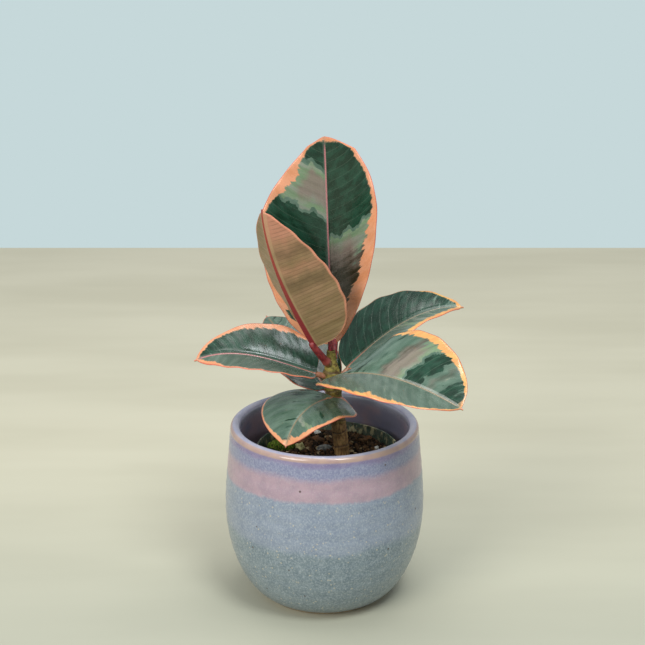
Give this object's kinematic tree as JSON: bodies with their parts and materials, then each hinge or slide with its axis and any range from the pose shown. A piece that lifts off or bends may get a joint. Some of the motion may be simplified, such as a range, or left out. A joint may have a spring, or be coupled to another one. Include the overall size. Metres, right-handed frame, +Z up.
{
  "type": "potted rubber plant",
  "caption": "Young variegated rubber plant with broad leaves in a nursery pot inside a round-bellied glazed planter.",
  "frame": {"origin": "centre of the planter's flat underside, on its axis", "axes": "+Z up along the planter's axis; -Y towards the side from which the plant is normally seen; +X to the right from there"},
  "size_m": [0.1467, 0.1209, 0.2543],
  "materials": {
    "glazed_stoneware": "gloss",
    "nursery_plastic": "matte",
    "potting_mix": "matte",
    "stem": "satin",
    "bud_sheath": "satin",
    "leaf": "satin",
    "moss": "matte",
    "bark": "matte",
    "pale_chip": "matte",
    "pebble": "matte",
    "perlite": "matte"
  },
  "bodies": {
    "root": {"planter": "glazed_stoneware", "nursery_pot": "nursery_plastic", "potting_mix": "potting_mix", "main_stem": "stem", "terminal_bud": "bud_sheath", "leaf_upright_back": "leaf", "leaf_upright_front": "leaf", "leaf_left": "leaf", "leaf_back_left": "leaf", "leaf_back_right": "leaf", "leaf_front_right": "leaf", "leaf_front": "leaf", "moss_left": "moss", "moss_back_left": "moss", "moss_front": "moss", "moss_right": "moss", "pale_chip": "pale_chip", "pebble": "pebble", "bark_back": "bark", "bark_left": "bark", "bark_right": "bark", "bark_front": "bark", "bark_front_left": "bark", "perlite_back": "perlite", "perlite_right": "perlite", "perlite_front": "perlite"}
  },
  "joints": []
}
